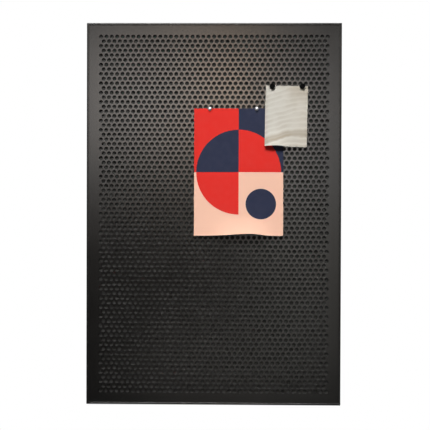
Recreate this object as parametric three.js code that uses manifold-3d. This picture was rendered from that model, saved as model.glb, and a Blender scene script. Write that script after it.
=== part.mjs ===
// A magnetic notice board for a wall: a perforated steel face over a plain steel backing, held in a mitred
// aluminium frame, with a poster and a card held on it by small magnets.
// Sizes are in millimetres. +X is to the viewer's right, +Z is up, and the wall is the plane y = 0, so the
// board faces -Y. The origin is the middle of the board, on the wall.

import * as THREE from "three";
import { mergeVertices } from "three/addons/utils/BufferGeometryUtils.js";
import Module from "manifold-3d";

const wasm = await Module();
wasm.setup();

// Board
const boardWidth = 600;
const boardHeight = 900;
const frameDepth = 18;
const wallStandoff = 4;
const seatGap = 0.3;
const cutOverrun = 2;

// Frame rail section. The lip slopes back a little towards its outer edge.
const railWall = 1.8;
const lipWidth = 5;
const lipFall = 0.25;
const noseRadius = 0.8;
const lipEdgeRadius = 1.2;
const rabbetRadius = 1;
const channelWidth = 8.4;
const channelDepth = 3.3;
const channelWall = 1.2;
const slotWidth = 4.8;
const mitreGap = 0.3;
const railArcSegments = 3;

// Perforated face
const sheetThickness = 1;
const holePitch = 12.7;
const holeDiameter = 9.5;
const plainMargin = 31.5;
const holeSides = 6;
// The real face has every hole of the staggered pattern. Only every third one in both directions is cut here,
// each at its true size and place. The value 1 cuts them all.
const modelledEvery = 3;

// Spacer strips and backing
const spacerThickness = 3;
const spacerWidth = 14;
const backingThickness = 1;

// Corner angles and their set screws
const screwSides = 10;
const screwHoleSides = 10;
const angleLeg = 34;
const angleThickness = 2.2;
const driveSides = 6;
const setScrewDiameter = 4;
const setScrewSocket = 2;
const setScrewSocketDepth = 1.4;
const setScrewShare = 0.82;

// Spring clips
const clipLength = 56;
const clipThickness = 0.5;
const clipSegments = 6;
const sideClipShares = [-0.32, 0, 0.32];
const endClipShares = [0];

// Wall hangers
const hangerSideInset = 100;
const hangerWidth = 36;
const hangerHeight = 42;
const hangerThickness = 1.5;
const hangerCornerRadius = 4;
const hangerArcSegments = 5;
const hangerInset = 2;
const keyholeHeadDiameter = 10;
const keyholeSlotWidth = 5;
const keyholeDrop = 31;
const keyholeRise = 10;
const clampLength = 34;
const clampThickness = 2.2;
const hangerScrewSpacing = 22;
const hangerScrewDiameter = 4;
const hangerScrewHead = 7;
const hangerScrewHeadHeight = 1.3;
const headChamferShare = 0.5;
const hangerScrewSocket = 2.5;
const hangerScrewSocketDepth = 0.9;

// Wall bumpers
const bumperDiameter = 10;
const bumperFaceDiameter = 8.4;
const bumperTaperShare = 1 / 3;
const bumperInset = 60;
const bumperSegments = 14;

// Poster. Its place is measured in from the board's right and top edges. Its lower edge curls forward, most
// to the right of its middle and little at its corners. The curl's shares are of the width: where it peaks,
// and how far it reaches to the left and to the right.
const paperThickness = 0.3;
const paperRowCrowding = 1.7;
const posterWidth = 210;
const posterHeight = 300;
const posterRightInset = 136.3;
const posterTopInset = 200.7;
const posterCurlAngle = THREE.MathUtils.degToRad(42);
const posterCurlLength = 52;
const posterEdgeAngle = THREE.MathUtils.degToRad(3);
const posterEdgeLength = 150;
const posterCurlShares = [0.62, 0.62, 0.38];
const posterColumns = 8;
const posterRows = 12;

// Card. It reaches past the poster's upper right corner and hangs a little askew, its foot to the left. Its
// lower edge curls forward, most near its left side.
const cardWidth = 99;
const cardHeight = 143;
const cardReachRight = 57.1;
const cardReachUp = 53;
const cardTilt = THREE.MathUtils.degToRad(1);
const cardCurlAngle = THREE.MathUtils.degToRad(26);
const cardCurlLength = 50;
const cardEdgeAngle = THREE.MathUtils.degToRad(3);
const cardCurlShares = [0.27, 0.5, 0.45];
const cardColumns = 6;
const cardRows = 8;

// Magnets
const magnetDrop = 0.8;
const domeMagnetDiameter = 9.6;
const domeMagnetHeight = 6.4;
const domeMagnetRim = 1.4;
const discMagnetDiameter = 13;
const discMagnetHeight = 5;
const discMagnetEdge = 1.4;
const magnetCapWall = 1.1;
const magnetCoreThickness = 2.2;
const magnetSegments = 16;
const domeRings = 5;
const discRings = 3;
const posterMagnetShares = [0.175, 0.7];
const cardMagnetShares = [0.155, 0.87];

// Depths from the wall towards the viewer
const frameBack = -wallStandoff;
const frameFront = frameBack - frameDepth;
const lipBack = frameFront + railWall;
const channelBack = frameBack - channelWall;
const channelFloor = channelBack - channelDepth;
const channelFront = channelFloor - channelWall;
const sheetFront = lipBack + seatGap;
const spacerFront = sheetFront + sheetThickness + seatGap;
const backingFront = spacerFront + spacerThickness + seatGap;
const backingBack = backingFront + backingThickness;
const posterFront = sheetFront - seatGap - paperThickness;
const cardFront = posterFront - seatGap - paperThickness;

// Distances in from the board's outer edge
const channelCentre = railWall + channelWidth / 2;
const railInner = railWall + channelWidth + channelWall;
const sheetInset = railWall + rabbetRadius + seatGap;

// Places on the face, from the board's middle
const posterRight = boardWidth / 2 - posterRightInset;
const posterCentreX = posterRight - posterWidth / 2;
const posterTopZ = boardHeight / 2 - posterTopInset;
const cardCentreX = posterRight + cardReachRight - cardWidth / 2;
const cardTopZ = posterTopZ + cardReachUp;

const board = new THREE.Group();

function finish(color, roughness, metalness) {
  return () => new THREE.MeshStandardMaterial({ color, roughness, metalness });
}

const darkPowderCoat = finish(0x3c3a39, 0.55, 0.2);
const mattDarkCoat = finish(0x2c2b2a, 0.8, 0.1);
const zincPlate = finish(0xa9acad, 0.4, 0.9);
const springSteel = finish(0x8d8f92, 0.35, 0.9);
const blackRubber = finish(0x1b1b1b, 0.9, 0);
const blackPlastic = finish(0x121212, 0.35, 0);
const brightChrome = finish(0xe4e6e8, 0.08, 1);
const nickelMagnet = finish(0xb9b7b0, 0.25, 1);
const ferriteMagnet = finish(0x3a3a3d, 0.7, 0.2);
const posterPaper = finish(0xe5322b, 0.85, 0);
const cardPaper = finish(0xcdc8bc, 0.8, 0);
const stripSteel = finish(0x55565a, 0.5, 0.7);

function addPiece(parent, name, geometry, makeMaterial) {
  const mesh = new THREE.Mesh(geometry, makeMaterial());
  mesh.name = name;
  parent.add(mesh);
  return mesh;
}

function solidFrom(geometry) {
  const bare = geometry.clone();
  bare.deleteAttribute("normal");
  bare.deleteAttribute("uv");
  const welded = mergeVertices(bare);
  return new wasm.Manifold(
    new wasm.Mesh({
      numProp: 3,
      vertProperties: welded.attributes.position.array,
      triVerts: Uint32Array.from(welded.index.array),
    }),
  );
}

function geometryFrom(solid) {
  const mesh = solid.getMesh();
  const geometry = new THREE.BufferGeometry();
  geometry.setAttribute("position", new THREE.BufferAttribute(mesh.vertProperties, 3));
  geometry.setIndex(new THREE.BufferAttribute(mesh.triVerts, 1));
  geometry.computeVertexNormals();
  return geometry;
}

function cut(geometry, tool) {
  return geometryFrom(solidFrom(geometry).subtract(solidFrom(tool)));
}

// A flat plate drawn in the board's x and z, from its front face back towards the wall.
function plateGeometry(shape, front, thickness, curveSegments = 1) {
  const geometry = new THREE.ExtrudeGeometry(shape, {
    depth: thickness,
    bevelEnabled: false,
    curveSegments,
  });
  geometry.rotateX(Math.PI / 2);
  geometry.translate(0, front + thickness, 0);
  return geometry;
}

function rectangle(width, height) {
  const shape = new THREE.Shape();
  shape.moveTo(-width / 2, -height / 2);
  shape.lineTo(width / 2, -height / 2);
  shape.lineTo(width / 2, height / 2);
  shape.lineTo(-width / 2, height / 2);
  shape.closePath();
  return shape;
}

// A hole with flat sides that opens the same area as a round one of that radius.
function roundHole(x, z, radius, sideCount) {
  const turn = (2 * Math.PI) / sideCount;
  const reach = radius * Math.sqrt(turn / Math.sin(turn));
  const corners = [];
  for (let side = 0; side < sideCount; side++) {
    const angle = Math.PI / 2 - side * turn;
    corners.push(new THREE.Vector2(x + reach * Math.cos(angle), z + reach * Math.sin(angle)));
  }
  return new THREE.Path(corners);
}

// A turned piece on an axis along y. The profile runs from the axis at the wall side, round the outside, to
// the axis at the viewer's side, as pairs of radius and y.
function turnedGeometry(profile, segments) {
  const points = profile.map(([radius, y]) => new THREE.Vector2(radius, y)).reverse();
  return new THREE.LatheGeometry(points, segments);
}

// Frame rails. x is the distance in from the outer edge, y is the depth, and the rail runs along z.
function railSection() {
  const slotSide = (channelWidth - slotWidth) / 2;
  const section = new THREE.Shape();
  section.moveTo(0, frameBack);
  const noseCentre = frameFront + lipFall + noseRadius;
  section.lineTo(0, noseCentre);
  section.absarc(noseRadius, noseCentre, noseRadius, Math.PI, 1.5 * Math.PI, false);
  section.lineTo(lipWidth - lipEdgeRadius, frameFront);
  section.absarc(
    lipWidth - lipEdgeRadius,
    frameFront + lipEdgeRadius,
    lipEdgeRadius,
    1.5 * Math.PI,
    2 * Math.PI,
    false,
  );
  section.lineTo(lipWidth, lipBack);
  section.lineTo(railWall + rabbetRadius, lipBack);
  section.absarc(
    railWall + rabbetRadius,
    lipBack + rabbetRadius,
    rabbetRadius,
    1.5 * Math.PI,
    Math.PI,
    true,
  );
  section.lineTo(railWall, channelFront);
  section.lineTo(railInner, channelFront);
  section.lineTo(railInner, frameBack);
  section.lineTo(railInner - channelWall - slotSide, frameBack);
  section.lineTo(railInner - channelWall - slotSide, channelBack);
  section.lineTo(railInner - channelWall, channelBack);
  section.lineTo(railInner - channelWall, channelFloor);
  section.lineTo(railWall, channelFloor);
  section.lineTo(railWall, channelBack);
  section.lineTo(railWall + slotSide, channelBack);
  section.lineTo(railWall + slotSide, frameBack);
  section.closePath();
  return section;
}

// The rail's ends are drawn in by their distance from the outer edge, which cuts the mitres.
function railGeometry(length) {
  const geometry = new THREE.ExtrudeGeometry(railSection(), {
    depth: length,
    bevelEnabled: false,
    curveSegments: railArcSegments,
  });
  geometry.translate(0, 0, -length / 2);
  const place = geometry.attributes.position;
  for (let i = 0; i < place.count; i++) {
    const end = length / 2 - place.getX(i) - mitreGap * Math.SQRT1_2;
    place.setZ(i, Math.sign(place.getZ(i)) * end);
  }
  return geometry;
}

// Perforated face. Rows of round holes stand at 60 degrees to each other, counted out from the middle.
function holeCentres() {
  const rowPitch = holePitch * Math.sin(Math.PI / 3);
  const halfAcross = Math.floor((boardWidth / 2 - plainMargin) / holePitch);
  const halfRows = Math.floor((boardHeight / 2 - plainMargin) / rowPitch);
  const lastRow = halfRows - (halfRows % modelledEvery);
  const lastStep = modelledEvery * Math.ceil((halfAcross + halfRows / 2) / modelledEvery);
  const centres = [];
  for (let row = -lastRow; row <= lastRow; row += modelledEvery) {
    for (let step = -lastStep; step <= lastStep; step += modelledEvery) {
      const across = step + row / 2;
      if (Math.abs(across) <= halfAcross) {
        centres.push([across * holePitch, row * rowPitch]);
      }
    }
  }
  return centres;
}

function perforatedFaceGeometry() {
  const shape = rectangle(boardWidth - 2 * sheetInset, boardHeight - 2 * sheetInset);
  for (const [x, z] of holeCentres()) {
    shape.holes.push(roundHole(x, z, holeDiameter / 2, holeSides));
  }
  return plateGeometry(shape, sheetFront, sheetThickness);
}

// Corner angle, drawn from the board's outer corner, with a tapped hole for each set screw.
function angleGeometry() {
  const near = railWall + seatGap;
  const far = railWall + channelWidth - seatGap;
  const shape = new THREE.Shape();
  shape.moveTo(near, -near);
  shape.lineTo(near, -angleLeg);
  shape.lineTo(far, -angleLeg);
  shape.lineTo(far, -far);
  shape.lineTo(angleLeg, -far);
  shape.lineTo(angleLeg, -near);
  shape.closePath();
  for (const [x, z] of setScrewPlaces()) {
    shape.holes.push(roundHole(x, z, setScrewDiameter / 2 + seatGap, screwHoleSides));
  }
  return plateGeometry(shape, channelBack - seatGap - angleThickness, angleThickness);
}

function setScrewPlaces() {
  const along = angleLeg * setScrewShare;
  return [
    [along, -channelCentre],
    [channelCentre, -along],
  ];
}

// A screw on an axis along y with a six-sided drive socket in its wall end.
function screwGeometry(profile, socket, socketDepth, back) {
  const body = turnedGeometry(profile, screwSides);
  const drive = new THREE.CylinderGeometry(
    socket / Math.sqrt(3),
    socket / Math.sqrt(3),
    socketDepth + cutOverrun,
    driveSides,
  );
  drive.translate(0, back - socketDepth + (socketDepth + cutOverrun) / 2, 0);
  return cut(body, drive);
}

function setScrewGeometry() {
  const back = channelBack - seatGap;
  const radius = setScrewDiameter / 2;
  const front = channelFloor + seatGap;
  const profile = [
    [0, back],
    [radius, back],
    [radius, front],
    [0, front],
  ];
  return screwGeometry(profile, setScrewSocket, setScrewSocketDepth, back);
}

// Bowed spring clip. Its ends bear on the channel and its middle presses the backing forward.
function clipGeometry() {
  const endBack = channelFront - seatGap;
  const middleFront = backingBack + seatGap;
  const bow = endBack - clipThickness - middleFront;
  const outline = new THREE.Shape();
  outline.moveTo(-clipLength / 2, endBack);
  outline.lineTo(-clipLength / 2, endBack - clipThickness);
  outline.quadraticCurveTo(0, endBack - clipThickness - 2 * bow, clipLength / 2, endBack - clipThickness);
  outline.lineTo(clipLength / 2, endBack);
  outline.quadraticCurveTo(0, endBack - 2 * bow, -clipLength / 2, endBack);
  const geometry = new THREE.ExtrudeGeometry(outline, {
    depth: channelWidth,
    bevelEnabled: false,
    curveSegments: clipSegments,
  });
  geometry.rotateY(-Math.PI / 2);
  geometry.translate(railWall + seatGap + channelWidth, 0, 0);
  return geometry;
}

// Hanger plate with a keyhole, drawn from the board's top edge with x to the viewer's right.
function hangerGeometry() {
  const top = -hangerInset;
  const bottom = top - hangerHeight;
  const half = hangerWidth / 2;
  const corner = hangerCornerRadius;
  const shape = new THREE.Shape();
  shape.moveTo(-half, top);
  shape.lineTo(-half, bottom + corner);
  shape.absarc(-half + corner, bottom + corner, corner, Math.PI, 1.5 * Math.PI, false);
  shape.lineTo(half - corner, bottom);
  shape.absarc(half - corner, bottom + corner, corner, 1.5 * Math.PI, 2 * Math.PI, false);
  shape.lineTo(half, top);
  shape.closePath();

  const headRadius = keyholeHeadDiameter / 2;
  const slotRadius = keyholeSlotWidth / 2;
  const headZ = top - keyholeDrop;
  const slotZ = headZ + keyholeRise;
  const meet = Math.acos(slotRadius / headRadius);
  const keyhole = new THREE.Path();
  keyhole.moveTo(slotRadius, slotZ);
  keyhole.absarc(0, slotZ, slotRadius, 0, Math.PI, false);
  keyhole.absarc(0, headZ, headRadius, Math.PI - meet, 2 * Math.PI + meet, false);
  keyhole.closePath();
  shape.holes.push(keyhole);
  for (const side of [-1, 1]) {
    const x = (side * hangerScrewSpacing) / 2;
    shape.holes.push(roundHole(x, -channelCentre, hangerScrewDiameter / 2 + seatGap, screwHoleSides));
  }
  return plateGeometry(shape, frameBack + seatGap, hangerThickness, hangerArcSegments);
}

// Clamp strip inside the channel, which the hanger's screws draw against the channel's rear lips.
function clampGeometry() {
  const shape = rectangle(clampLength, channelWidth - 2 * seatGap);
  for (const side of [-1, 1]) {
    const x = (side * hangerScrewSpacing) / 2;
    shape.holes.push(roundHole(x, 0, hangerScrewDiameter / 2 + seatGap, screwHoleSides));
  }
  return plateGeometry(shape, channelBack - seatGap - clampThickness, clampThickness);
}

function hangerScrewGeometry() {
  const under = frameBack + seatGap + hangerThickness + seatGap;
  const back = under + hangerScrewHeadHeight;
  const chamfer = hangerScrewHeadHeight * headChamferShare;
  const radius = hangerScrewDiameter / 2;
  const front = channelFloor + seatGap;
  const profile = [
    [0, back],
    [hangerScrewHead / 2 - chamfer, back],
    [hangerScrewHead / 2, back - chamfer],
    [hangerScrewHead / 2, under],
    [radius, under],
    [radius, front],
    [0, front],
  ];
  return screwGeometry(profile, hangerScrewSocket, hangerScrewSocketDepth, back);
}

function bumperGeometry() {
  const front = frameBack + seatGap;
  const profile = [
    [0, 0],
    [bumperFaceDiameter / 2, 0],
    [bumperDiameter / 2, front * bumperTaperShare],
    [bumperDiameter / 2, front],
    [0, front],
  ];
  return turnedGeometry(profile, bumperSegments);
}

// A hump over a share of the width that is 1 at its peak and falls smoothly to 0 on each side.
function hump(across, peakShare, leftShare, rightShare) {
  const reach = across < peakShare ? leftShare : rightShare;
  const away = Math.min(Math.abs(across - peakShare) / reach, 1);
  return Math.cos((away * Math.PI) / 2) ** 2;
}

// A sheet of paper that hangs from its top edge. Down each column of points it keeps its true length, and
// leans away from the board by the angle that lean gives for the share across and the distance down.
function paperGeometry(width, height, front, columns, rows, lean) {
  const positions = [];
  // Rows of points stand closer together towards the lower edge.
  const downTo = (row) => height * (1 - (1 - row / rows) ** paperRowCrowding);
  for (const back of [0, paperThickness]) {
    for (let column = 0; column <= columns; column++) {
      const across = column / columns;
      let y = front;
      let z = 0;
      for (let row = 0; row <= rows; row++) {
        const angle = lean(across, downTo(row));
        const x = (across - 1 / 2) * width;
        positions.push(x, y + back * Math.cos(angle), z - back * Math.sin(angle));
        const step = row < rows ? downTo(row + 1) - downTo(row) : 0;
        const ahead = lean(across, downTo(row) + step / 2);
        y -= step * Math.sin(ahead);
        z -= step * Math.cos(ahead);
      }
    }
  }
  const at = (side, column, row) => (side * (columns + 1) + column) * (rows + 1) + row;
  const faces = [];
  const quad = (a, b, c, d) => faces.push(a, b, c, a, c, d);
  for (let column = 0; column < columns; column++) {
    for (let row = 0; row < rows; row++) {
      quad(at(0, column, row), at(0, column, row + 1), at(0, column + 1, row + 1), at(0, column + 1, row));
      quad(at(1, column, row), at(1, column + 1, row), at(1, column + 1, row + 1), at(1, column, row + 1));
    }
    quad(at(0, column, 0), at(0, column + 1, 0), at(1, column + 1, 0), at(1, column, 0));
    quad(at(0, column, rows), at(1, column, rows), at(1, column + 1, rows), at(0, column + 1, rows));
  }
  for (let row = 0; row < rows; row++) {
    quad(at(0, 0, row), at(1, 0, row), at(1, 0, row + 1), at(0, 0, row + 1));
    quad(at(0, columns, row), at(0, columns, row + 1), at(1, columns, row + 1), at(1, columns, row));
  }
  const geometry = new THREE.BufferGeometry();
  geometry.setAttribute("position", new THREE.Float32BufferAttribute(positions, 3));
  geometry.setIndex(faces);
  geometry.computeVertexNormals();
  return geometry;
}

function posterLean(across, down) {
  const middle = hump(across, ...posterCurlShares);
  const curl = Math.max(0, 1 - (posterHeight - down) / posterCurlLength);
  const edge = Math.max(0, 1 - (posterHeight - down) / posterEdgeLength);
  return middle * curl * posterCurlAngle + edge * posterEdgeAngle;
}

function cardLean(across, down) {
  const left = hump(across, ...cardCurlShares);
  const curl = Math.max(0, 1 - (cardHeight - down) / cardCurlLength);
  const edge = down / cardHeight;
  return left * curl * cardCurlAngle + edge * cardEdgeAngle;
}

// Magnet cap: a turned shell with a recess in its back for the magnet.
function capGeometry(outside, coreRadius, back) {
  const recess = magnetCoreThickness + seatGap;
  const profile = [
    [0, back - recess],
    [coreRadius, back - recess],
    [coreRadius, back],
    ...outside,
  ];
  return turnedGeometry(profile, magnetSegments);
}

function domeOutside(back) {
  const radius = domeMagnetDiameter / 2;
  const rise = domeMagnetHeight - domeMagnetRim;
  const points = [[radius, back]];
  for (let ring = 0; ring <= domeRings; ring++) {
    const angle = (ring / domeRings) * (Math.PI / 2);
    const r = ring < domeRings ? radius * Math.cos(angle) : 0;
    points.push([r, back - domeMagnetRim - rise * Math.sin(angle)]);
  }
  return points;
}

function discOutside(back) {
  const radius = discMagnetDiameter / 2;
  const edge = discMagnetEdge;
  const points = [[radius, back]];
  for (let ring = 0; ring <= discRings; ring++) {
    const angle = (ring / discRings) * (Math.PI / 2);
    points.push([
      radius - edge + edge * Math.cos(angle),
      back - discMagnetHeight + edge - edge * Math.sin(angle),
    ]);
  }
  points.push([0, back - discMagnetHeight]);
  return points;
}

function coreGeometry(radius, back) {
  const geometry = new THREE.CylinderGeometry(radius, radius, magnetCoreThickness, magnetSegments);
  geometry.translate(0, back - magnetCoreThickness / 2, 0);
  return geometry;
}

// The four sides, each turned so that x runs in from the outer edge and the rail lies along z.
const sides = [
  { name: "left", length: boardHeight, x: -boardWidth / 2, z: 0, quarterTurns: 0 },
  { name: "top", length: boardWidth, x: 0, z: boardHeight / 2, quarterTurns: 1 },
  { name: "right", length: boardHeight, x: boardWidth / 2, z: 0, quarterTurns: 2 },
  { name: "bottom", length: boardWidth, x: 0, z: -boardHeight / 2, quarterTurns: 3 },
];

for (const side of sides) {
  const upright = side.length === boardHeight;
  const group = new THREE.Group();
  group.position.set(side.x, 0, side.z);
  group.rotation.y = (side.quarterTurns * Math.PI) / 2;
  board.add(group);
  addPiece(group, `frame_${side.name}`, railGeometry(side.length), darkPowderCoat);

  const spacerTrim = upright ? spacerWidth + seatGap : 0;
  const spacerLength = side.length - 2 * (sheetInset + spacerTrim);
  const spacer = plateGeometry(rectangle(spacerWidth, spacerLength), spacerFront, spacerThickness);
  spacer.translate(sheetInset + spacerWidth / 2, 0, 0);
  addPiece(group, `spacer_${side.name}`, spacer, stripSteel);

  const shares = upright ? sideClipShares : endClipShares;
  shares.forEach((share, index) => {
    const clip = addPiece(group, `spring_clip_${side.name}_${index + 1}`, clipGeometry(), springSteel);
    clip.position.z = share * side.length;
  });
}

// A wall bumper near each corner, on the back of the side rails
for (const [column, right] of [
  ["left", -1],
  ["right", 1],
]) {
  for (const [row, up] of [
    ["top", 1],
    ["bottom", -1],
  ]) {
    const bumper = addPiece(board, `wall_bumper_${row}_${column}`, bumperGeometry(), blackRubber);
    bumper.position.set(
      right * (boardWidth / 2 - channelCentre),
      0,
      up * (boardHeight / 2 - bumperInset),
    );
  }
}

// The face and the backing
addPiece(board, "perforated_sheet", perforatedFaceGeometry(), darkPowderCoat);
addPiece(
  board,
  "backing_sheet",
  plateGeometry(
    rectangle(boardWidth - 2 * sheetInset, boardHeight - 2 * sheetInset),
    backingFront,
    backingThickness,
  ),
  mattDarkCoat,
);

// The four corners, turned in the same way
const corners = [
  { name: "top_left", x: -boardWidth / 2, z: boardHeight / 2, quarterTurns: 0 },
  { name: "top_right", x: boardWidth / 2, z: boardHeight / 2, quarterTurns: 1 },
  { name: "bottom_right", x: boardWidth / 2, z: -boardHeight / 2, quarterTurns: 2 },
  { name: "bottom_left", x: -boardWidth / 2, z: -boardHeight / 2, quarterTurns: 3 },
];

for (const corner of corners) {
  const group = new THREE.Group();
  group.position.set(corner.x, 0, corner.z);
  group.rotation.y = (corner.quarterTurns * Math.PI) / 2;
  board.add(group);
  addPiece(group, `corner_angle_${corner.name}`, angleGeometry(), zincPlate);
  setScrewPlaces().forEach(([x, z], index) => {
    const screw = addPiece(
      group,
      `set_screw_${corner.name}_${index + 1}`,
      setScrewGeometry(),
      zincPlate,
    );
    screw.position.set(x, 0, z);
  });
}

// The two wall hangers on the top rail
for (const [name, sign] of [
  ["left", -1],
  ["right", 1],
]) {
  const group = new THREE.Group();
  group.position.set(sign * (boardWidth / 2 - hangerSideInset), 0, boardHeight / 2);
  board.add(group);
  addPiece(group, `hanger_plate_${name}`, hangerGeometry(), zincPlate);
  const clamp = addPiece(group, `hanger_clamp_${name}`, clampGeometry(), zincPlate);
  clamp.position.z = -channelCentre;
  [-1, 1].forEach((side, index) => {
    const screw = addPiece(
      group,
      `hanger_screw_${name}_${index + 1}`,
      hangerScrewGeometry(),
      zincPlate,
    );
    screw.position.set((side * hangerScrewSpacing) / 2, 0, -channelCentre);
  });
}

// The poster and the card that overlaps its corner
const poster = addPiece(
  board,
  "poster",
  paperGeometry(posterWidth, posterHeight, posterFront, posterColumns, posterRows, posterLean),
  posterPaper,
);
poster.position.set(posterCentreX, 0, posterTopZ);

const card = addPiece(
  board,
  "card",
  paperGeometry(cardWidth, cardHeight, cardFront, cardColumns, cardRows, cardLean),
  cardPaper,
);
card.position.set(cardCentreX, 0, cardTopZ);
card.rotation.y = cardTilt;

// Magnets, centred just below the top edge of the sheet that they hold
function addMagnets(kind, shares, width, centreX, topZ, back, outside, capRadius, capFinish, coreFinish) {
  const coreRadius = capRadius - magnetCapWall - seatGap;
  shares.forEach((share, index) => {
    const group = new THREE.Group();
    group.position.set(centreX + (share - 1 / 2) * width, 0, topZ - magnetDrop);
    board.add(group);
    const cap = capGeometry(outside(back), coreRadius + seatGap, back);
    addPiece(group, `${kind}_cap_${index + 1}`, cap, capFinish);
    addPiece(group, `${kind}_core_${index + 1}`, coreGeometry(coreRadius, back), coreFinish);
  });
}

addMagnets(
  "poster_magnet",
  posterMagnetShares,
  posterWidth,
  posterCentreX,
  posterTopZ,
  posterFront - seatGap,
  domeOutside,
  domeMagnetDiameter / 2,
  brightChrome,
  nickelMagnet,
);
addMagnets(
  "card_magnet",
  cardMagnetShares,
  cardWidth,
  cardCentreX,
  cardTopZ,
  cardFront - seatGap,
  discOutside,
  discMagnetDiameter / 2,
  blackPlastic,
  ferriteMagnet,
);

export default board;
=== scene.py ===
"""A magnetic notice board: a perforated steel face in a mitred frame, with a poster and a card.

Lengths are in metres. +X is to the viewer's right, +Z is up, and the wall is the plane y = 0, so
the board faces -Y.
"""

import math

import bpy
from mathutils import Matrix, Vector

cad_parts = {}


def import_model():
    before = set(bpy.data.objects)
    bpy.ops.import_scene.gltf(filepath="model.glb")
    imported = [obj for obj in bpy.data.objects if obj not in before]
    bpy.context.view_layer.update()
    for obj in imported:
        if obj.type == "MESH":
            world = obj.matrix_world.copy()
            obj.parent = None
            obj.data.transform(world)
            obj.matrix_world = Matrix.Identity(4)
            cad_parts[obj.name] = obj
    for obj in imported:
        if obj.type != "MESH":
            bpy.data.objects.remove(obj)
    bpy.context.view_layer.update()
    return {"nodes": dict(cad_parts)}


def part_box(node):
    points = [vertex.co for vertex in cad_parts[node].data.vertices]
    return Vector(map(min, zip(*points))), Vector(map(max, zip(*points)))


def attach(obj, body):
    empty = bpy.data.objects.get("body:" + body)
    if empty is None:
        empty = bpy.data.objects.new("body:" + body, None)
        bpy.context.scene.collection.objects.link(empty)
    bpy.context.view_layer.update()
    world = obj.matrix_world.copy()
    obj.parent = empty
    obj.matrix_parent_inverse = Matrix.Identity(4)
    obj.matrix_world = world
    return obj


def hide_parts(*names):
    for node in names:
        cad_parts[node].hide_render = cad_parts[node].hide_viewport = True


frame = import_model()

MM = 0.001

# Faces that meet at less than this angle are shaded as one smooth surface
SMOOTH_ANGLE = math.radians(38)

# Steps in a small rounded edge and in a broad one, and sides of a turned piece
EDGE_STEPS = 4
ROUND_STEPS = 14
TURNED_SIDES = 64

# Frame rail section
RAIL_WALL = 1.8 * MM
LIP_WIDTH = 5.0 * MM
LIP_FALL = 0.25 * MM
NOSE_RADIUS = 0.8 * MM
LIP_EDGE_RADIUS = 1.2 * MM
RABBET_RADIUS = 1.0 * MM
CHANNEL_WIDTH = 8.4 * MM
CHANNEL_DEPTH = 3.3 * MM
CHANNEL_WALL = 1.2 * MM
SLOT_WIDTH = 4.8 * MM
SLOT_EDGE_RADIUS = 0.25 * MM
MITRE_GAP = 0.3 * MM

# Perforated face
HOLE_PITCH = 12.7 * MM
HOLE_RADIUS = 4.75 * MM
HOLES_IN_LONG_ROW = 43
HOLE_ROWS = 77
HOLE_SIDES = 12
# How far apart, for each degree round a hole, the margin's lines meet the sheet's edge
MARGIN_FAN = 0.055 * MM

# Paper. A curl rolls the sheet's foot forward by an angle over a length above the foot, most where
# its hump peaks across the sheet. The shares are the hump's peak and its reach to the left and to
# the right. The edge angle and length are the lean that the whole width has.
PAPER_THICKNESS = 0.3 * MM
POSTER_SIZE = (210 * MM, 300 * MM)
POSTER_TILT = 0
POSTER_GRID = (60, 90)
POSTER_CURL = {
    "angle": math.radians(42),
    "length": 52 * MM,
    "edge_angle": math.radians(3),
    "edge_length": 150 * MM,
    "shares": (0.62, 0.62, 0.38),
}
CARD_SIZE = (99 * MM, 143 * MM)
CARD_TILT = math.radians(1)
CARD_GRID = (40, 60)
CARD_CURL = {
    "angle": math.radians(26),
    "length": 50 * MM,
    "edge_angle": math.radians(3),
    "edge_length": 143 * MM,
    "shares": (0.27, 0.5, 0.45),
}

# Magnets
DOME_RIM = 1.4 * MM
DISC_EDGE_RADIUS = 1.4 * MM
MAGNET_CAP_WALL = 1.1 * MM
MAGNET_CHAMFER = 0.2 * MM
MAGNET_RECESS = 2.5 * MM

# Wall bumpers. The rounded rim runs from the flat back down to this angle, where the taper starts.
BUMPER_FACE_RADIUS = 4.2 * MM
BUMPER_EDGE_RADIUS = 0.6 * MM
BUMPER_TAPER_ANGLE = 20


# Shader maths
class Value:
    """One output of a shader node, or a plain number, that sums and products are written with."""

    def __init__(self, finish, source):
        self.finish = finish
        self.source = source

    def maths(self, operation, *others):
        inputs = dict(enumerate((self, *others)))
        return self.finish.node("ShaderNodeMath", {"operation": operation}, inputs)

    def __add__(self, other):
        return self.maths("ADD", other)

    __radd__ = __add__

    def __sub__(self, other):
        return self.maths("SUBTRACT", other)

    def __rsub__(self, other):
        return Value(self.finish, other).maths("SUBTRACT", self)

    def __mul__(self, other):
        return self.maths("MULTIPLY", other)

    __rmul__ = __mul__

    def __gt__(self, other):
        return self.maths("GREATER_THAN", other)

    def __lt__(self, other):
        return self.maths("LESS_THAN", other)

    def sine(self):
        return self.maths("SINE")

    def between(self, low, high):
        """0 at low, 1 at high, eased at both ends."""
        return self.finish.node(
            "ShaderNodeMapRange",
            {"interpolation_type": "SMOOTHSTEP"},
            {"Value": self, "From Min": low, "From Max": high},
        )


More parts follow.
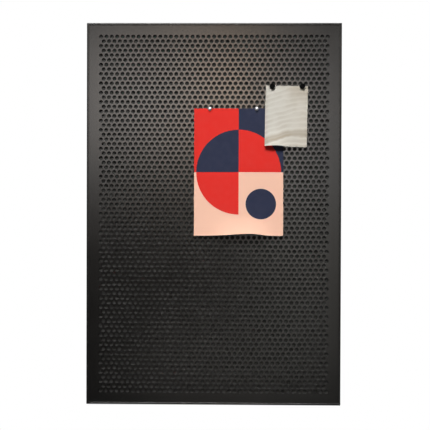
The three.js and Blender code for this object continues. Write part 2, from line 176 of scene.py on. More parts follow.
class Finish:
    """A material, or the world, whose nodes are laid out by node()."""

    def __init__(self, owner, output="ShaderNodeOutputMaterial"):
        owner.use_nodes = True
        self.owner = owner
        self.tree = owner.node_tree
        self.tree.nodes.clear()
        self.output = self.tree.nodes.new(output)

    def node(self, kind, settings=None, inputs=None, output=0):
        """Adds a node: its settings first, then the values or links of its sockets."""
        made = self.tree.nodes.new(kind)
        for name, setting in (settings or {}).items():
            setattr(made, name, setting)
        for key, value in (inputs or {}).items():
            socket = made.inputs[key]
            source = value.source if isinstance(value, Value) else value
            if isinstance(source, bpy.types.NodeSocket):
                self.tree.links.new(source, socket)
            else:
                socket.default_value = source
        return Value(self, made.outputs[output])

    def place(self):
        """A point's place on the object, in metres."""
        return self.node("ShaderNodeTexCoord", output="Object")

    def flat_place(self):
        """A point's place on its sheet laid flat, in metres across, down and through it."""
        return self.node("ShaderNodeAttribute", {"attribute_name": "flat_place"}, output="Vector")

    def light_path(self, kind):
        """1 for the rays of one kind, such as Is Camera Ray, and 0 for the others."""
        return self.node("ShaderNodeLightPath", output=kind)

    def parts(self, vector):
        """A vector's x, y and z."""
        first = self.node("ShaderNodeSeparateXYZ", None, {"Vector": vector})
        return [Value(self, socket) for socket in first.source.node.outputs]

    def noise(self, place, scale, detail=2):
        """Soft noise from 0 to 1, with about scale features to the metre."""
        inputs = {"Vector": place, "Scale": scale, "Detail": detail}
        return self.node("ShaderNodeTexNoise", None, inputs)

    def stretched(self, place, scale):
        """The place times a scale for each axis, for brushed patterns."""
        return self.node("ShaderNodeVectorMath", {"operation": "MULTIPLY"}, {0: place, 1: scale})

    def mix(self, share, first, second):
        """The first colour where share is 0 and the second where it is 1."""
        return self.node(
            "ShaderNodeMix",
            {"data_type": "RGBA"},
            {"Factor": share, "A": colour_of(first), "B": colour_of(second)},
            output="Result",
        )

    def mix_shader(self, share, first, second):
        """The first shader where share is 0 and the second where it is 1. None is black."""
        shaders = {1: first, 2: second}
        linked = {key: shader for key, shader in shaders.items() if shader is not None}
        return self.node("ShaderNodeMixShader", None, {0: share, **linked})

    def bump(self, height, depth):
        """The surface's normal over a height from 0 to 1 that stands for depth metres."""
        return self.node("ShaderNodeBump", None, {"Height": height, "Distance": depth})

    def surface(self, **sockets):
        """Ends the material in a Principled shader with these sockets."""
        named = {
            name.replace("_", " ").title().replace("Ior", "IOR"): value
            for name, value in sockets.items()
        }
        return self.end(self.node("ShaderNodeBsdfPrincipled", None, named))

    def end(self, shader):
        """Links a shader to the output."""
        self.tree.links.new(shader.source, self.output.inputs["Surface"])
        return self.owner


def colour_of(value):
    """A colour socket's value: a link as it is, and three numbers with an alpha of 1."""
    return value if isinstance(value, Value) else (*value, 1)


def screen_colour(*parts):
    """The linear colour of a screen colour given from 0 to 255."""

    def linear(part):
        share = part / 255
        return share / 12.92 if share <= 0.04045 else ((share + 0.055) / 1.055) ** 2.4

    return tuple(linear(part) for part in parts)


def new_finish(name):
    return Finish(bpy.data.materials.new(name))


# Finishes
COAT_DARK = (0.0040, 0.0039, 0.0038)
COAT_LIGHT = (0.0056, 0.0054, 0.0052)
BACKING_DARK = (0.060, 0.059, 0.057)
BACKING_LIGHT = (0.074, 0.073, 0.071)


def powder_coat(name, dark, light, roughness, specular=0.5):
    """Powder coat: a fine orange-peel skin with slight clouding in its colour and gloss."""
    coat = new_finish(name)
    place = coat.place()
    clouds = coat.noise(place, 14, detail=3)
    speckle = coat.noise(place, 2600, detail=1)
    peel = coat.noise(place, 750)
    shade = clouds.between(0.3, 0.7) * 0.6 + speckle.between(0.35, 0.65) * 0.4
    return coat.surface(
        base_color=coat.mix(shade, dark, light),
        roughness=roughness + (peel - 0.5) * 0.06 + (clouds - 0.5) * 0.05,
        specular_ior_level=specular,
        normal=coat.bump(peel * 0.8 + speckle * 0.2, 0.012 * MM),
    )


def zinc_plate():
    """Pale zinc plating: faint crystals over a brushed grain."""
    plate = new_finish("zinc_plate")
    place = plate.place()
    cells = {"Vector": place, "Scale": 380}
    crystals = plate.node("ShaderNodeTexVoronoi", {"feature": "F1"}, cells, output="Distance")
    grain = plate.noise(plate.stretched(place, (400, 400, 6000)), 1)
    shade = crystals * 0.5 + grain * 0.5
    return plate.surface(
        base_color=plate.mix(shade, (0.42, 0.44, 0.47), (0.62, 0.63, 0.64)),
        metallic=1,
        roughness=0.3 + shade * 0.16,
        normal=plate.bump(grain, 0.006 * MM),
    )


def spring_steel():
    """Bright rolled steel with the marks of the rolls."""
    steel = new_finish("spring_steel")
    marks = steel.noise(steel.stretched(steel.place(), (3000, 3000, 90)), 1, detail=3)
    return steel.surface(
        base_color=steel.mix(marks, (0.24, 0.25, 0.27), (0.42, 0.42, 0.43)),
        metallic=1,
        roughness=0.24 + marks * 0.14,
        normal=steel.bump(marks, 0.004 * MM),
    )


def strip_plastic():
    """Black extruded plastic with a fine grain and a dull sheen."""
    plastic = new_finish("spacer_strip")
    grain = plastic.noise(plastic.place(), 1400)
    return plastic.surface(
        base_color=plastic.mix(grain, (0.012, 0.012, 0.012), (0.026, 0.026, 0.027)),
        roughness=0.5 + grain * 0.12,
        normal=plastic.bump(grain, 0.01 * MM),
    )


def bumper_rubber():
    """Matt black rubber with a fine moulded grain and a faint bloom."""
    rubber = new_finish("bumper_rubber")
    place = rubber.place()
    grain = rubber.noise(place, 3200, detail=3)
    bloom = rubber.noise(place, 180).between(0.4, 0.7)
    return rubber.surface(
        base_color=rubber.mix(bloom, (0.012, 0.012, 0.012), (0.026, 0.025, 0.025)),
        roughness=0.82 + grain * 0.1,
        normal=rubber.bump(grain, 0.02 * MM),
    )


def magnet_chrome():
    """Satin chrome, a little dulled where fingers touch it."""
    chrome = new_finish("magnet_chrome")
    smudges = chrome.noise(chrome.place(), 420, detail=3)
    return chrome.surface(
        base_color=chrome.mix(smudges.between(0.4, 0.75), (0.86, 0.86, 0.87), (0.74, 0.74, 0.74)),
        metallic=1,
        roughness=0.4 + smudges * 0.1,
        normal=chrome.bump(smudges, 0.003 * MM),
    )


def magnet_nickel():
    """Nickel plating on a magnet's core."""
    nickel = new_finish("magnet_nickel")
    grain = nickel.noise(nickel.place(), 1900, detail=3)
    return nickel.surface(
        base_color=nickel.mix(grain, (0.44, 0.42, 0.38), (0.58, 0.56, 0.51)),
        metallic=1,
        roughness=0.22 + grain * 0.12,
        normal=nickel.bump(grain, 0.004 * MM),
    )


def magnet_black():
    """Black moulded plastic with a light matt texture."""
    plastic = new_finish("magnet_black")
    grain = plastic.noise(plastic.place(), 2400)
    return plastic.surface(
        base_color=plastic.mix(grain, (0.002, 0.002, 0.002), (0.004, 0.004, 0.004)),
        roughness=0.66 + grain * 0.12,
        specular_ior_level=0.03,
        normal=plastic.bump(grain, 0.01 * MM),
    )


def magnet_ferrite():
    """Bare ferrite: dark, dull and slightly pitted."""
    ferrite = new_finish("magnet_ferrite")
    pits = ferrite.noise(ferrite.place(), 1500, detail=4)
    return ferrite.surface(
        base_color=ferrite.mix(pits, (0.025, 0.025, 0.028), (0.055, 0.055, 0.06)),
        roughness=0.6 + pits * 0.2,
        normal=ferrite.bump(pits, 0.02 * MM),
    )


# Inks and papers
RED = screen_colour(229, 50, 43)
NAVY = screen_colour(47, 52, 74)
PEACH = screen_colour(252, 202, 177)
PAPER_WHITE = screen_colour(238, 235, 228)
PAPER_SHADE = screen_colour(226, 223, 215)
CARD_PALE_LEFT = screen_colour(214, 211, 202)
CARD_PALE_RIGHT = screen_colour(212, 206, 194)
# The darker tone that the card's painted shade mixes in
CARD_SHADE = screen_colour(178, 167, 150)

# The poster's design: two columns and two rows of plain tiles, row by row from the upper left. Each
# tile has a ground, a figure, and the point that the figure is drawn about, in shares across and
# down the tile. About a corner it is a quarter disc, and about the middle a whole one.
TILE_COLUMNS = 2
TILE_ROWS = 2
TILE_MIDDLE = (0.5, 0.5)
QUARTER_RADIUS = 100 * MM
DISC_RADIUS = 36 * MM
POSTER_TILES = (
    (RED, NAVY, (1, 1)),
    (NAVY, RED, (0, 1)),
    (PEACH, RED, (1, 0)),
    (PEACH, NAVY, TILE_MIDDLE),
)


def printed_poster():
    """Uncoated paper printed with the tiles in three flat inks."""
    paper = new_finish("poster_print")
    across, down, _ = paper.parts(paper.flat_place())
    tile_width = POSTER_SIZE[0] / TILE_COLUMNS
    tile_height = POSTER_SIZE[1] / TILE_ROWS
    ink = None
    for index, (ground, figure, point) in enumerate(POSTER_TILES):
        row, column = divmod(index, TILE_COLUMNS)
        left = column * tile_width
        top = row * tile_height
        radius = DISC_RADIUS if point == TILE_MIDDLE else QUARTER_RADIUS
        reach_across = across - (left + point[0] * tile_width)
        reach_down = down - (top + point[1] * tile_height)
        inside = reach_across * reach_across + reach_down * reach_down < radius**2
        painted = paper.mix(inside, ground, figure)
        if ink is None:
            ink = painted
        else:
            here = (across > left) * (across < left + tile_width) * (down > top)
            ink = paper.mix(here, ink, painted)
    place = paper.place()
    fibre = paper.noise(place, 2200, detail=3)
    cloud = paper.noise(place, 60)
    return paper.surface(
        base_color=paper.mix((cloud - 0.5) * 0.02 + 0.004, ink, PAPER_WHITE),
        roughness=0.84 + fibre * 0.1,
        specular_ior_level=0.12,
        normal=paper.bump(fibre, 0.012 * MM),
    )


def plain_paper():
    """The unprinted back and cut edges of both sheets."""
    paper = new_finish("paper_back")
    place = paper.place()
    fibre = paper.noise(place, 2200, detail=4)
    cloud = paper.noise(place, 90, detail=3)
    return paper.surface(
        base_color=paper.mix(cloud, PAPER_SHADE, PAPER_WHITE),
        roughness=0.8 + fibre * 0.12,
        normal=paper.bump(fibre, 0.02 * MM),
    )


# The card's painted shade of ripple bands and a folded band, in shares of its width and height. A
# slope is where a shade eases in or out.
RIPPLE_RATE = 74
FINE_RIPPLE_RATE = 150
RIPPLE_CLIMB = 0.3
RIPPLE_FLATTENING = 0.14
FOLD_LEVEL = 0.93
FOLD_SLOPE_ABOVE = (-0.09, -0.025)
FOLD_SLOPE_BELOW = (0.015, 0.07)
CORNER_SLOPE_ACROSS = (0.45, 0.68)
CORNER_SLOPE_DOWN = (0.05, 0.35)
LEFT_EDGE_SLOPE = (0, 0.13)


def card_with_painted_shade():
    """Satin card in a pale warm grey, with painted shade of soft slanting ripple bands and of one
    broad folded band, and darker towards the upper right and along the left edge.
    """
    card = new_finish("card_print")
    flat = card.flat_place()
    x, y, _ = card.parts(flat)
    across = x * (1 / CARD_SIZE[0])
    down = y * (1 / CARD_SIZE[1])
    drift = card.noise(flat, 26) - 0.5
    # Down the card, less the climb to the right, which flattens towards the right edge
    climb = across * RIPPLE_CLIMB - across * across * RIPPLE_FLATTENING
    level = down + climb + drift * 0.1
    # Painted shade of slanting ripple bands, coarse and fine
    painted_ripples = (level * RIPPLE_RATE).sine() * 0.5 + 0.5
    fine = (level * FINE_RIPPLE_RATE + drift * 6).sine() * 0.5 + 0.5
    patches = card.noise(flat, 34).between(0.3, 0.7)
    # Painted shade of one broad folded band
    from_fold = level - FOLD_LEVEL
    fold_shade = from_fold.between(*FOLD_SLOPE_ABOVE) * (1 - from_fold.between(*FOLD_SLOPE_BELOW))
    # Darker towards the upper right and along the left edge
    corner = across.between(*CORNER_SLOPE_ACROSS) * (1 - down.between(*CORNER_SLOPE_DOWN))
    left_edge = 1 - across.between(*LEFT_EDGE_SLOPE)
    ripple_shade = painted_ripples * (patches * 0.25 + 0.12) + fine * 0.08 + patches * 0.06
    shade = ripple_shade + fold_shade * 0.72 + corner * 0.5 + left_edge * 0.2
    pale = card.mix(across, CARD_PALE_LEFT, CARD_PALE_RIGHT)
    fibre = card.noise(card.place(), 1800, detail=3)
    return card.surface(
        base_color=card.mix(shade, pale, CARD_SHADE),
        roughness=0.8 + fibre * 0.12,
        specular_ior_level=0.3,
        normal=card.bump(fibre, 0.01 * MM),
    )


# Meshes
def in_scene(name, data):
    """A new object of the scene."""
    made = bpy.data.objects.new(name, data)
    bpy.context.scene.collection.objects.link(made)
    return made


def new_piece(name, points, faces, finishes, body, replaced, finish_of=None):
    """A mesh in the board's frame that rides on a body and stands for the CAD nodes named in
    replaced. Faces have the first finish, or the one that finish_of numbers."""
    mesh = bpy.data.meshes.new(name)
    mesh.from_pydata(points, [], faces)
    for finish in finishes:
        mesh.materials.append(finish)
    if finish_of is not None:
        mesh.polygons.foreach_set("material_index", finish_of)
    mesh.update()
    mesh.shade_smooth()
    mesh.set_sharp_from_angle(angle=SMOOTH_ANGLE)
    piece = in_scene(name, mesh)
    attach(piece, body)
    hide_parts(*replaced)
    return piece


def arc(centre, radius, start, end, steps):
    """Points on an arc, with its angles in degrees from the first axis towards the second."""
    angles = [math.radians(start + (end - start) * step / steps) for step in range(steps + 1)]
    return [(centre[0] + radius * math.cos(a), centre[1] + radius * math.sin(a)) for a in angles]


def turned(name, node, profile, finish, body):
    """A round piece in place of a node, turned about the line along y through the node's middle.
    The profile gives radius and y, from the axis at the wall side, round the outside, to the axis
    at the viewer's side."""
    low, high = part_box(node)
    x = (low.x + high.x) / 2
    z = (low.z + high.z) / 2
    points = []
    rings = []
    for radius, y in profile:
        if radius == 0:
            rings.append([len(points)] * TURNED_SIDES)
            points.append((x, y, z))
            continue
        rings.append(list(range(len(points), len(points) + TURNED_SIDES)))
        for step in range(TURNED_SIDES):
            angle = 2 * math.pi * step / TURNED_SIDES
            points.append((x + radius * math.cos(angle), y, z + radius * math.sin(angle)))
    faces = []
    for ring, after in zip(rings, rings[1:]):
        for step in range(TURNED_SIDES):
            following = (step + 1) % TURNED_SIDES
            corners = (ring[step], ring[following], after[following], after[step])
            # The two corners on the axis are one
            faces.append(list(dict.fromkeys(corners)))
    return new_piece(name, points, faces, [finish], body, [node])


# Sheet metal
def hole_rows():
    """The middles of the face's round holes, row by row from the bottom. Every other row is one
    hole shorter."""
    row_pitch = HOLE_PITCH * math.sin(math.pi / 3)
    rows = []
    for row in range(HOLE_ROWS):
        count = HOLES_IN_LONG_ROW - row % 2
        z = (row - (HOLE_ROWS - 1) / 2) * row_pitch
        rows.append([((column - (count - 1) / 2) * HOLE_PITCH, z) for column in range(count)])
    return rows


def neighbours_of(row, column):
    """The holes to the right, up to the right and up to the left of a hole, by their angles from
    it, where there are such holes."""
    shift = row % 2
    places = {
        0: (row, column + 1),
        60: (row + 1, column + shift),
        120: (row + 1, column + shift - 1),
    }
    return {
        angle: (r, c)
        for angle, (r, c) in places.items()
        if r < HOLE_ROWS and 0 <= c < HOLES_IN_LONG_ROW - r % 2
    }


def webs_between(first_corner):
    """The flat faces between the holes. A corner's number is its hole's first corner plus its turn,
    where turn 0 stands at 15 degrees and each turn is 30 degrees."""

    def corner(hole, angle):
        return first_corner[hole] + (angle - 15) // 30 % HOLE_SIDES

    webs = []
    for hole in first_corner:
        near = neighbours_of(*hole)
        # Between two holes, the face has four corners
        for angle, other in near.items():
            webs.append(
                [
                    corner(hole, angle - 15),
                    corner(other, angle + 195),
                    corner(other, angle + 165),
                    corner(hole, angle + 15),
                ]
            )
        # Between three, it has six
        for angle in (0, 60):
            if angle in near and angle + 60 in near:
                right, left = near[angle], near[angle + 60]
                webs.append(
                    [
                        corner(hole, angle + 45),
                        corner(hole, angle + 15),
                        corner(right, angle + 165),
                        corner(right, angle + 135),
                        corner(left, angle + 285),
                        corner(left, angle + 255),
                    ]
                )
    return webs


def outline_round(webs, first_corner):
    """The corners along the outer side of the hole pattern, in order."""
    edges = {(a, b) for web in webs for a, b in zip(web, web[1:] + web[:1])}
    following = {}
    for first in first_corner.values():
        for turn in range(HOLE_SIDES):
            a = first + turn
            b = first + (turn + 1) % HOLE_SIDES
            if (b, a) not in edges:
                following[a] = b
    for a, b in edges:
        if (b, a) not in edges and a // HOLE_SIDES != b // HOLE_SIDES:
            following[a] = b
    loop = [next(iter(following))]
    while following[loop[-1]] != loop[0]:
        loop.append(following[loop[-1]])
    return loop


def place_on_edge(middle, corner, turn, low, high):
    """The place on the sheet's edge that the margin joins a hole's corner to. The places fan out
    from the hole's middle, so that no two of them meet."""
    x, z = corner
    side = min((high.x - x, 0), (high.z - z, 90), (x - low.x, 180), (z - low.z, 270))[1]
    angle = 360 * (turn + 0.5) / HOLE_SIDES
    slip = MARGIN_FAN * ((angle - side + 180) % 360 - 180)
    return {
        0: (high.x, middle[1] + slip),
        90: (middle[0] - slip, high.z),
        180: (low.x, middle[1] - slip),
        270: (middle[0] + slip, low.z),
    }[side]


def plain_margin(loop, middles, corners, low, high):
    """The flat faces from the hole pattern out to the sheet's edge, and the corners along that edge
    in order. New corners are added to those given."""
    places = []
    for number in loop:
        hole, turn = divmod(number, HOLE_SIDES)
        places.append(place_on_edge(middles[hole], corners[number], turn, low, high))
    start = len(corners)
    corners += places
    faces = []
    rim = []
    for step, number in enumerate(loop):
        following = (step + 1) % len(loop)
        here, there = places[step], places[following]
        outer = [start + step, start + following]
        if here[0] != there[0] and here[1] != there[1]:
            # The sheet's own corner lies between two sides
            upright = here[0] in (low.x, high.x)
            outer.insert(1, len(corners))
            corners.append((here[0], there[1]) if upright else (there[0], here[1]))
        faces.append([loop[following], number, *outer])
        rim += outer[:-1]
    return faces, rim


def perforated_sheet(finish):
    """The steel face with all its round holes cut through."""
    low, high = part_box("perforated_sheet")
    middles = []
    corners = []
    first_corner = {}
    for row, places in enumerate(hole_rows()):
        for column, (x, z) in enumerate(places):
            middles.append((x, z))
            first_corner[row, column] = len(corners)
            for turn in range(HOLE_SIDES):
                angle = 2 * math.pi * (turn + 0.5) / HOLE_SIDES
                reach = (HOLE_RADIUS * math.cos(angle), HOLE_RADIUS * math.sin(angle))
                corners.append((x + reach[0], z + reach[1]))
    webs = webs_between(first_corner)
    loop = outline_round(webs, first_corner)
    margin, rim = plain_margin(loop, middles, corners, low, high)
    front = webs + margin
    count = len(corners)
    points = [(x, y, z) for y in (low.y, high.y) for x, z in corners]
    faces = front + [[i + count for i in reversed(face)] for face in front]
    for first in first_corner.values():
        for turn in range(HOLE_SIDES):
            a = first + turn
            b = first + (turn + 1) % HOLE_SIDES
            faces.append([a, b, b + count, a + count])
    for a, b in zip(rim, rim[1:] + rim[:1]):
        faces.append([b, a, a + count, b + count])
    new_piece(
        "perforated_face", points, faces, [finish], "board", ["perforated_sheet"]
    )


# Frame
def rail_section(front, back):
    """The rail's outline as pairs of distance in from the outer edge and depth."""
    lip_back = front + RAIL_WALL
    channel_back = back - CHANNEL_WALL
    channel_floor = channel_back - CHANNEL_DEPTH
    channel_front = channel_floor - CHANNEL_WALL
    inner = RAIL_WALL + CHANNEL_WIDTH + CHANNEL_WALL
    slot_side = (CHANNEL_WIDTH - SLOT_WIDTH) / 2
    slot_near = RAIL_WALL + slot_side
    slot_far = inner - CHANNEL_WALL - slot_side
    lip_edge = LIP_WIDTH - LIP_EDGE_RADIUS
    nose = front + LIP_FALL + NOSE_RADIUS
    rabbet = (RAIL_WALL + RABBET_RADIUS, lip_back + RABBET_RADIUS)
    edge = SLOT_EDGE_RADIUS
    return [
        *arc((edge, back - edge), edge, 90, 180, EDGE_STEPS),
        *arc((NOSE_RADIUS, nose), NOSE_RADIUS, 180, 270, EDGE_STEPS),
        *arc((lip_edge, front + LIP_EDGE_RADIUS), LIP_EDGE_RADIUS, 270, 360, EDGE_STEPS),
        (LIP_WIDTH, lip_back),
        *arc(rabbet, RABBET_RADIUS, 270, 180, EDGE_STEPS),
        (RAIL_WALL, channel_front),
        *arc((inner - edge, channel_front + edge), edge, 270, 360, EDGE_STEPS),
        *arc((inner - edge, back - edge), edge, 0, 90, EDGE_STEPS),
        *arc((slot_far + edge, back - edge), edge, 90, 180, EDGE_STEPS),
        (slot_far, channel_back),
        (inner - CHANNEL_WALL, channel_back),
        (inner - CHANNEL_WALL, channel_floor),
        (RAIL_WALL, channel_floor),
        (RAIL_WALL, channel_back),
        (slot_near, channel_back),
        *arc((slot_near - edge, back - edge), edge, 0, 90, EDGE_STEPS),
    ]


# Each side's name, the way in from its outer edge, and the way along it
SIDES = (
    ("left", Vector((1, 0, 0)), Vector((0, 0, 1))),
    ("top", Vector((0, 0, -1)), Vector((1, 0, 0))),
    ("right", Vector((-1, 0, 0)), Vector((0, 0, -1))),
    ("bottom", Vector((0, 0, 1)), Vector((-1, 0, 0))),
)


def frame_rails(finish):
    """Four rails, each with mitred ends."""
    # How far along its rail a mitred end stands back from the mitre line
    mitre_setback = MITRE_GAP * math.sqrt(0.5)
    for name, inward, along in SIDES:
        low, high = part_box(f"frame_{name}")
        middle = (low + high) / 2
        size = high - low
        half_length = (abs(size.dot(along)) + 2 * mitre_setback) / 2
        outer = middle - inward * abs(size.dot(inward)) / 2
        outline = rail_section(low.y, high.y)
        points = []
        for end in (-1, 1):
            for reach, depth in outline:
                out = end * (half_length - reach - mitre_setback)
                place = outer + inward * reach + along * out
                points.append((place.x, depth, place.z))
        count = len(outline)
        faces = [list(reversed(range(count))), list(range(count, 2 * count))]
        for a in range(count):
            b = (a + 1) % count
            faces.append([a, b, b + count, a + count])
        new_piece(
            f"rail_{name}", points, faces, [finish], "board", [f"frame_{name}"]
        )


# Paper
def hump(across, peak, left, right):
    """1 at its peak across the width, falling smoothly to 0 on each side."""
    reach = left if across < peak else right
    away = min(abs(across - peak) / reach, 1)
    return math.cos(away * math.pi / 2) ** 2


def lean_of(curl, height):
    """How far a sheet leans off the board, by the share across it and the distance down it."""

    def lean(across, down):
        below = height - down
        rolled = max(0, 1 - below / curl["length"]) * curl["angle"]
        raised = max(0, 1 - below / curl["edge_length"]) * curl["edge_angle"]
        return hump(across, *curl["shares"]) * rolled + raised

    return lean


def square(column, row):
    """The corners of one square of a sheet's grid, in order as the viewer sees them."""
    return [(column, row), (column, row + 1), (column + 1, row + 1), (column + 1, row)]


def paper_sheet(name, node, size, tilt, grid, curl, finishes):
    """A sheet that hangs from its top edge and keeps its true length down each column of points.
    The tilt, which turns it about the middle of its top edge, moves its foot to the left."""
    width, height = size
    columns, rows = grid
    step = height / rows
    low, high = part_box(node)
    middle = high.x - width / 2 * math.cos(tilt)
    top = high.z - width / 2 * math.sin(tilt)
    front = high.y - PAPER_THICKNESS
    lean = lean_of(curl, height)
    points = []
    flat = []
    for back in (0, PAPER_THICKNESS):
        for column in range(columns + 1):
            across = column / columns
            x = (across - 0.5) * width
            y, z = front, 0
            for row in range(rows + 1):
                down = height * row / rows
                angle = lean(across, down)
                fall = z - back * math.sin(angle)
                turned_x = x * math.cos(tilt) + fall * math.sin(tilt)
                turned_z = fall * math.cos(tilt) - x * math.sin(tilt)
                points.append((middle + turned_x, y + back * math.cos(angle), top + turned_z))
                flat.append((across * width, down, back))
                ahead = lean(across, down + step / 2)
                y -= step * math.sin(ahead)
                z -= step * math.cos(ahead)

    def at(side, column, row):
        return (side * (columns + 1) + column) * (rows + 1) + row

    faces = []
    finish_of = []
    for column in range(columns):
        for row in range(rows):
            faces.append([at(0, *c) for c in square(column, row)])
            faces.append([at(1, *c) for c in reversed(square(column, row))])
            finish_of += [0, 1]
        for row, order in ((0, 1), (rows, -1)):
            edge = ((0, column), (0, column + 1), (1, column + 1), (1, column))
            faces.append([at(side, c, row) for side, c in edge[::order]])
            finish_of.append(1)
    for row in range(rows):
        for column, order in ((0, 1), (columns, -1)):
            edge = ((0, row), (1, row), (1, row + 1), (0, row + 1))
            faces.append([at(side, column, r) for side, r in edge[::order]])
            finish_of.append(1)
    piece = new_piece(name, points, faces, finishes, node, [node], finish_of)
    places = piece.data.attributes.new("flat_place", "FLOAT_VECTOR", "POINT")
    places.data.foreach_set("vector", [part for place in flat for part in place])
    return piece


# Magnets and bumpers
def dome_front(radius, front, back):
    """The profile of a dome that rises from a short rim."""
    shoulder = back - DOME_RIM
    rise = shoulder - front
    angles = [math.pi / 2 * step / ROUND_STEPS for step in range(ROUND_STEPS)]
    return [(radius * math.cos(a), shoulder - rise * math.sin(a)) for a in angles]


def disc_front(radius, front, _):
    """The profile of a flat front with a rounded edge."""
    edge = DISC_EDGE_RADIUS
    return arc((radius - edge, front + edge), edge, 0, -90, ROUND_STEPS)


def magnet_caps(sheet, front_profile, finish):
    """Two round caps on a sheet's top edge, with a recess behind for the magnet."""
    for index in (1, 2):
        name = f"{sheet}_magnet_{index}"
        node = f"{sheet}_magnet_cap_{index}"
        low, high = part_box(node)
        radius = (high.z - low.z) / 2
        core = radius - MAGNET_CAP_WALL
        recess = high.y - MAGNET_RECESS
        profile = [
            (0, recess),
            (core, recess),
            (core, high.y),
            (radius - MAGNET_CHAMFER, high.y),
            (radius, high.y - MAGNET_CHAMFER),
            *front_profile(radius, low.y, high.y),
            (0, low.y),
        ]
        turned(name, node, profile, finish, name)


def wall_bumpers(finish):
    """Tapered rubber feet with a rounded rim, on the back of the side rails."""
    edge = BUMPER_EDGE_RADIUS
    for row in ("top", "bottom"):
        for column in ("left", "right"):
            node = f"wall_bumper_{row}_{column}"
            low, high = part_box(node)
            radius = (high.x - low.x) / 2
            shoulder = (low.y + high.y) / 2
            rim = (BUMPER_FACE_RADIUS - edge, high.y - edge)
            rounded = arc(rim, edge, 90, BUMPER_TAPER_ANGLE, EDGE_STEPS)
            profile = [(0, high.y), *rounded, (radius, shoulder), (radius, low.y), (0, low.y)]
            turned(f"bumper_{row}_{column}", node, profile, finish, "board")


def finish_frame_nodes(finishes):
    """Gives each piece that stays as it was built the finish for the start of its name."""
    for name, node in frame["nodes"].items():
        for start, finish in finishes.items():
            if name.startswith(start):
                for material_slot in node.material_slots:
                    material_slot.material = finish


face_coat = powder_coat("face_coat", COAT_DARK, COAT_LIGHT, 0.24)
frame_coat = powder_coat("frame_coat", COAT_DARK, COAT_LIGHT, 0.26)
backing_coat = powder_coat("backing_coat", BACKING_DARK, BACKING_LIGHT, 0.6, specular=0.05)
zinc = zinc_plate()
poster_finishes = [printed_poster(), plain_paper()]
card_finishes = [card_with_painted_shade(), poster_finishes[1]]

perforated_sheet(face_coat)
frame_rails(frame_coat)
poster = paper_sheet(
    "poster_sheet",
    "poster",
    POSTER_SIZE,
    POSTER_TILT,
    POSTER_GRID,
    POSTER_CURL,
    poster_finishes,
)
card = paper_sheet(
    "card_sheet",
    "card",
    CARD_SIZE,
    CARD_TILT,
    CARD_GRID,
    CARD_CURL,
    card_finishes,
)
magnet_caps("poster", dome_front, magnet_chrome())
magnet_caps("card", disc_front, magnet_black())
wall_bumpers(bumper_rubber())
finish_frame_nodes(
    {
        "backing_sheet": backing_coat,
        "spacer_": strip_plastic(),
        "spring_clip_": spring_steel(),
        "corner_angle_": zinc,
        "set_screw_": zinc,
        "hanger_": zinc,
        "poster_magnet_core_": magnet_nickel(),
        "card_magnet_core_": magnet_ferrite(),
    }
)


# Studio
WHITE = (1, 1, 1)

# Floor. The camera sees it partly as plain white, which keeps it pale. Between the fade's two
# distances from the point below the board it turns wholly white.
FLOOR_Z = -0.8
FLOOR_RADIUS = 6.0
FLOOR_SIDES = 96
FLOOR_COLOUR = (0.86, 0.86, 0.86)
FLOOR_WHITE_SHARE = 0.5
FLOOR_FADE = (0.6, 1.2)
# How bright the floor is in gloss, far before the board and near it, and where along y it changes
FLOOR_GLOSS_BEFORE = 0.01
FLOOR_GLOSS_NEAR = 0.3
FLOOR_GLOSS_EDGE = (-1.3, -0.9)

# Background. Its light on the board is dim. A glossy ray's way along +Y, from -1 to 1, tells where
# it meets the studio: before the board it is dark, so that only the panels show, beside it grey,
# and behind it white.
AMBIENT = 0.06
GLOSS_BEFORE = 0.01
GLOSS_BESIDE = 0.55
BESIDE_SLOPE = (-0.86, -0.6)
BEHIND_SLOPE = (0.0, 0.5)

# Key lamp. The narrow spread keeps most of its light off the floor.
KEY_PLACE = (-0.25, -3.0, 2.95)
KEY_AIM = (0, 0, 0.22)
KEY_SIZE = (1.4, 1.2)
KEY_POWER = 12.4
KEY_SPREAD = math.radians(40)

# Sheen panels: left, right, bottom, top, brightness and tint. They stand just behind the camera,
# and a brightness of 1 is white.
PANEL_Y = -2.45
SHEEN_PANELS = {
    "panel_left": (-1.0, -0.6, 0.06, 1.0, 1.9, WHITE),
    "panel_upper": (-0.65, -0.1, 0.26, 0.78, 5.0, (1, 0.97, 0.95)),
    "panel_warm": (-0.3, 0.1, 0.38, 0.7, 20.0, (1, 0.74, 0.53)),
    "panel_middle": (0.15, 0.48, 0.05, 0.75, 3.9, WHITE),
    "panel_far_right": (0.5, 1.0, 0.1, 1.0, 0.75, WHITE),
    "panel_right": (0.22, 0.53, -0.3, 0.1, 2.3, (1, 0.95, 0.87)),
    "panel_lower_right": (0.22, 0.53, -0.85, -0.3, 1.5, (1, 0.97, 0.9)),
    "panel_foot": (-0.4, 0.3, -0.85, -0.6, 1.5, (1, 0.93, 0.85)),
}

# Camera, as worked out from the board's corners in the photograph. Angles are in radians, and the
# focal length is in the photograph's pixels.
CAMERA_PLACE = (0.0467, -2.4, 0.0251)
CAMERA_YAW = -0.01822
CAMERA_PITCH = -0.01128
CAMERA_ROLL = 0.00319
FOCAL_PIXELS = 1009.4
IMAGE_PIXELS = 430
SENSOR_WIDTH = 36


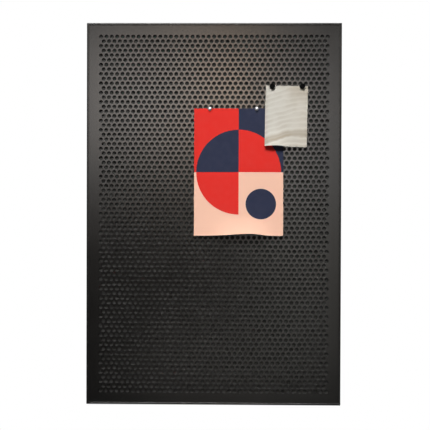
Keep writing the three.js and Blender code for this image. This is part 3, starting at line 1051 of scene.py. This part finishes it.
def floor():
    """A pale floor below the board, which fades into the white background."""
    mesh = bpy.data.meshes.new("studio_floor")
    ring = arc((0, 0), FLOOR_RADIUS, 0, 360, FLOOR_SIDES)[:-1]
    mesh.from_pydata([(x, y, FLOOR_Z) for x, y in ring], [], [list(range(FLOOR_SIDES))])
    in_scene("studio_floor", mesh)
    pale = new_finish("studio_floor")
    mesh.materials.append(pale.owner)
    place = pale.place()
    ends = {0: place, 1: (0, 0, FLOOR_Z)}
    away = pale.node("ShaderNodeVectorMath", {"operation": "DISTANCE"}, ends, output="Value")
    _, y, _ = pale.parts(place)
    seen = pale.light_path("Is Camera Ray")
    mirrored = pale.light_path("Is Glossy Ray")
    white_share = away.between(*FLOOR_FADE) * (1 - FLOOR_WHITE_SHARE) + FLOOR_WHITE_SHARE
    near = y.between(*FLOOR_GLOSS_EDGE)
    gloss = near * (FLOOR_GLOSS_NEAR - FLOOR_GLOSS_BEFORE) + FLOOR_GLOSS_BEFORE
    lit = pale.node("ShaderNodeBsdfDiffuse", None, {"Color": colour_of(FLOOR_COLOUR)})
    white = pale.node("ShaderNodeEmission", None, {"Color": colour_of(WHITE), "Strength": 1})
    in_view = pale.mix_shader(white_share * seen, lit, white)
    in_gloss = pale.mix_shader(gloss, None, white)
    pale.end(pale.mix_shader(mirrored, in_view, in_gloss))


def world():
    """White where the camera sees it, dim for light on the board, and in gloss dark before the
    board, grey beside it and white behind it."""
    sky = bpy.data.worlds.new("studio")
    bpy.context.scene.world = sky
    studio = Finish(sky, "ShaderNodeOutputWorld")
    direction = studio.node("ShaderNodeTexCoord", output="Generated")
    _, facing, _ = studio.parts(direction)
    beside = facing.between(*BESIDE_SLOPE) * (GLOSS_BESIDE - GLOSS_BEFORE) + GLOSS_BEFORE
    gloss = beside + facing.between(*BEHIND_SLOPE) * (1 - GLOSS_BESIDE)
    mirrored = studio.light_path("Is Glossy Ray")
    white = studio.light_path("Is Camera Ray") + studio.light_path("Is Transmission Ray")
    dim = (1 - mirrored) * AMBIENT + mirrored * gloss
    strength = white + (1 - white) * dim
    inputs = {"Color": colour_of(WHITE), "Strength": strength}
    studio.end(studio.node("ShaderNodeBackground", None, inputs))


def lamp(name, place, aim, size, power, tint=WHITE, spread=math.pi):
    """A soft rectangular lamp that faces the point aimed at."""
    light = bpy.data.lights.new(name, "AREA")
    light.shape = "RECTANGLE"
    light.size, light.size_y = size
    light.energy = power
    light.color = tint
    light.spread = spread
    made = in_scene(name, light)
    made.location = place
    made.rotation_euler = (Vector(aim) - Vector(place)).to_track_quat("-Z", "Y").to_euler()
    return made


def sheen_panel(name, left, right, bottom, top, brightness, tint):
    """A panel that only the satin and bright surfaces mirror."""
    width = right - left
    height = top - bottom
    x = (left + right) / 2
    z = (bottom + top) / 2
    power = brightness * math.pi * width * height
    made = lamp(name, (x, PANEL_Y, z), (x, 0, z), (width, height), power, tint)
    made.visible_diffuse = False


def camera():
    """The photograph's view: almost square on, with the lens a little right of the middle."""
    across = Vector((math.cos(CAMERA_YAW), -math.sin(CAMERA_YAW), 0))
    level = Vector((math.sin(CAMERA_YAW), math.cos(CAMERA_YAW), 0))
    forward = level * math.cos(CAMERA_PITCH) + Vector((0, 0, math.sin(CAMERA_PITCH)))
    upright = across.cross(forward)
    right = across * math.cos(CAMERA_ROLL) + upright * math.sin(CAMERA_ROLL)
    up = upright * math.cos(CAMERA_ROLL) - across * math.sin(CAMERA_ROLL)
    lens = bpy.data.cameras.new("camera")
    lens.sensor_width = SENSOR_WIDTH
    lens.lens = SENSOR_WIDTH * FOCAL_PIXELS / IMAGE_PIXELS
    made = in_scene("camera", lens)
    turn = Matrix((right, up, -forward)).transposed().to_4x4()
    made.matrix_world = Matrix.Translation(CAMERA_PLACE) @ turn
    bpy.context.scene.camera = made


floor()
world()
lamp("key_lamp", KEY_PLACE, KEY_AIM, KEY_SIZE, KEY_POWER, spread=KEY_SPREAD)
for panel_name, panel in SHEEN_PANELS.items():
    sheen_panel(panel_name, *panel)
camera()
bpy.context.scene.view_settings.view_transform = "Standard"
